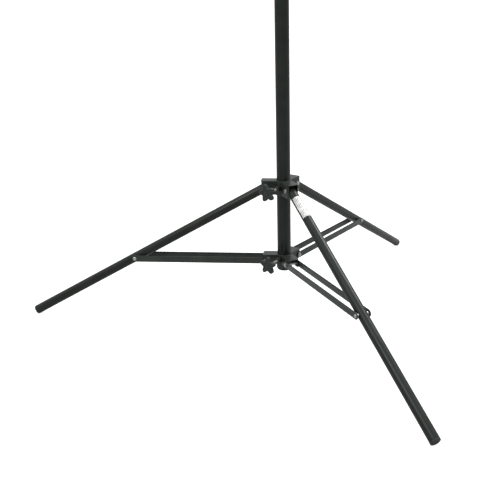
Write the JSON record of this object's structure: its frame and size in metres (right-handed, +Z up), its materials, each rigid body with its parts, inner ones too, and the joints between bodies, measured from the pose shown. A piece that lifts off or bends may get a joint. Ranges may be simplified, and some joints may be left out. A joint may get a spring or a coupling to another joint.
{
  "type": "crank lighting stand",
  "caption": "Folding lighting stand: tube legs and flat braces on two sliding collars, with a telescoping mast raised by a rope winch and a spigot socket on top",
  "frame": {"origin": "the middle of the open stand's box, on the floor; the mast's axis is at x = 0.2354 m", "axes": "+Z up along the mast; one leg points along -X and the winch is on the mast's +X side"},
  "size_m": [1.4564, 1.6764, 1.7541],
  "materials": {
    "black_paint": "satin black powder coat",
    "black_casting": "satin black painted casting",
    "black_plastic": "moulded, fine grain",
    "black_end_plug": "moulded polyethylene",
    "zinc_plated_steel": "bright zinc plate",
    "white_nylon": "natural nylon",
    "wire_rope": "galvanised strand"
  },
  "bodies": {
    "base": {"lower_collar": "black_paint", "brace_bolt_left": "zinc_plated_steel", "brace_bolt_rear": "zinc_plated_steel", "brace_bolt_front": "zinc_plated_steel"},
    "upper_collar": {"upper_collar": "black_paint", "leg_bolt_left": "zinc_plated_steel", "leg_bolt_rear": "zinc_plated_steel", "leg_bolt_front": "zinc_plated_steel"},
    "mast": {"outer_mast": "black_paint", "mast_end_plug": "black_end_plug", "mast_head": "black_casting", "pulley_pin": "zinc_plated_steel", "winch_bracket": "black_casting", "u_bolt_upper": "zinc_plated_steel", "u_bolt_lower": "zinc_plated_steel", "pawl_pin": "zinc_plated_steel", "rope_outer_run": "wire_rope", "rope_inner_run": "wire_rope"},
    "middle_mast": {"middle_mast": "black_paint", "middle_glide": "white_nylon", "middle_collar": "black_casting"},
    "inner_mast": {"inner_mast": "black_paint", "inner_glide": "white_nylon", "receiver_head": "black_casting"},
    "winch": {"winch_drum": "zinc_plated_steel", "rope_windings": "wire_rope", "winch_shaft": "zinc_plated_steel", "ratchet_wheel": "zinc_plated_steel", "crank_arm": "black_casting", "crank_grip_bolt": "zinc_plated_steel"},
    "grip": {"crank_grip": "black_plastic"},
    "pulley": {"rope_pulley": "black_casting"},
    "pawl": {"ratchet_pawl": "zinc_plated_steel"},
    "upper_knob": {"upper_collar_knob": "black_plastic"},
    "lower_knob": {"lower_collar_knob": "black_plastic"},
    "middle_knob": {"middle_collar_knob": "black_plastic"},
    "receiver_knob": {"receiver_knob": "black_plastic"},
    "leg_left": {"leg_left": "black_paint", "foot_left": "black_end_plug", "brace_bush_left": "zinc_plated_steel"},
    "brace_left": {"brace_left_a": "black_paint", "brace_left_b": "black_paint", "brace_stud_left_a": "zinc_plated_steel", "brace_stud_left_b": "zinc_plated_steel"},
    "leg_rear": {"leg_rear": "black_paint", "foot_rear": "black_end_plug", "brace_bush_rear": "zinc_plated_steel"},
    "brace_rear": {"brace_rear_a": "black_paint", "brace_rear_b": "black_paint", "brace_stud_rear_a": "zinc_plated_steel", "brace_stud_rear_b": "zinc_plated_steel"},
    "leg_front": {"leg_front": "black_paint", "foot_front": "black_end_plug", "brace_bush_front": "zinc_plated_steel"},
    "brace_front": {"brace_front_a": "black_paint", "brace_front_b": "black_paint", "brace_stud_front_a": "zinc_plated_steel", "brace_stud_front_b": "zinc_plated_steel"}
  },
  "joints": [
    {"name": "leg_fold", "type": "slide", "parent": "base", "child": "upper_collar", "axis": [0, 0, 1], "range_m": [0, 0.7824]},
    {"name": "mast_height", "type": "slide", "parent": "base", "child": "mast", "axis": [0, 0, 1], "range_m": [-0.19, 0]},
    {"name": "mast_lift", "type": "slide", "parent": "mast", "child": "middle_mast", "axis": [0, 0, 1], "range_m": [0, 1.1], "deforming": ["rope_inner_run"]},
    {"name": "top_lift", "type": "slide", "parent": "middle_mast", "child": "inner_mast", "axis": [0, 0, 1], "range_m": [0, 1.1]},
    {"name": "leg_left_turn", "type": "hinge", "parent": "upper_collar", "child": "leg_left", "pos_m": [0.17537, 0, 0.51516], "axis": [0, -1, 0], "range_deg": [0, 60.71]},
    {"name": "brace_left_turn", "type": "hinge", "parent": "base", "child": "brace_left", "pos_m": [0.17137, 0, 0.23681], "axis": [0, 1, 0], "range_deg": [0, 90.48]},
    {"name": "leg_rear_turn", "type": "hinge", "parent": "upper_collar", "child": "leg_rear", "pos_m": [0.26537, 0.05196, 0.51516], "axis": [-0.866, 0.5, 0], "range_deg": [0, 60.71]},
    {"name": "brace_rear_turn", "type": "hinge", "parent": "base", "child": "brace_rear", "pos_m": [0.26737, 0.05543, 0.23681], "axis": [0.866, -0.5, 0], "range_deg": [0, 90.48]},
    {"name": "leg_front_turn", "type": "hinge", "parent": "upper_collar", "child": "leg_front", "pos_m": [0.26537, -0.05196, 0.51516], "axis": [0.866, 0.5, 0], "range_deg": [0, 60.71]},
    {"name": "brace_front_turn", "type": "hinge", "parent": "base", "child": "brace_front", "pos_m": [0.26737, -0.05543, 0.23681], "axis": [-0.866, -0.5, 0], "range_deg": [0, 90.48]},
    {"name": "winch_turn", "type": "hinge", "parent": "mast", "child": "winch", "pos_m": [0.29712, 0, 1.47111], "axis": [0, 1, 0], "range_deg": [-4066.7, 0]},
    {"name": "pulley_turn", "type": "hinge", "parent": "mast", "child": "pulley", "pos_m": [0.26937, 0, 1.59311], "axis": [0, 1, 0], "range_deg": [0, 5145.4]},
    {"name": "grip_spin", "type": "hinge", "parent": "winch", "child": "grip", "pos_m": [0.29712, -0.1, 1.34611], "axis": [0, 1, 0], "continuous": true},
    {"name": "pawl_swing", "type": "hinge", "parent": "mast", "child": "pawl", "pos_m": [0.31712, 0.0323, 1.49811], "axis": [0, 1, 0], "range_deg": [0, 35]},
    {"name": "upper_knob_turn", "type": "hinge", "parent": "upper_collar", "child": "upper_knob", "pos_m": [0.23537, 0, 0.51516], "axis": [-0.5, -0.866, 0], "range_deg": [0, 540]},
    {"name": "lower_knob_turn", "type": "hinge", "parent": "base", "child": "lower_knob", "pos_m": [0.23537, 0, 0.24281], "axis": [-0.5, -0.866, 0], "range_deg": [0, 540]},
    {"name": "middle_knob_turn", "type": "hinge", "parent": "middle_mast", "child": "middle_knob", "pos_m": [0.23537, 0, 1.63961], "axis": [-0.5, -0.866, 0], "range_deg": [0, 540]},
    {"name": "receiver_knob_turn", "type": "hinge", "parent": "inner_mast", "child": "receiver_knob", "pos_m": [0.23537, 0, 1.73071], "axis": [-0.5, -0.866, 0], "range_deg": [0, 540]}
  ],
  "couplings": [
    {"joint": "leg_left_turn", "follows": "leg_fold", "rad_per_m": 1.3541},
    {"joint": "brace_left_turn", "follows": "leg_fold", "rad_per_m": 2.018},
    {"joint": "leg_rear_turn", "follows": "leg_fold", "rad_per_m": 1.3541},
    {"joint": "brace_rear_turn", "follows": "leg_fold", "rad_per_m": 2.018},
    {"joint": "leg_front_turn", "follows": "leg_fold", "rad_per_m": 1.3541},
    {"joint": "brace_front_turn", "follows": "leg_fold", "rad_per_m": 2.018},
    {"joint": "winch_turn", "follows": "mast_lift", "rad_per_m": -64.516},
    {"joint": "pulley_turn", "follows": "mast_lift", "rad_per_m": 81.633}
  ]
}
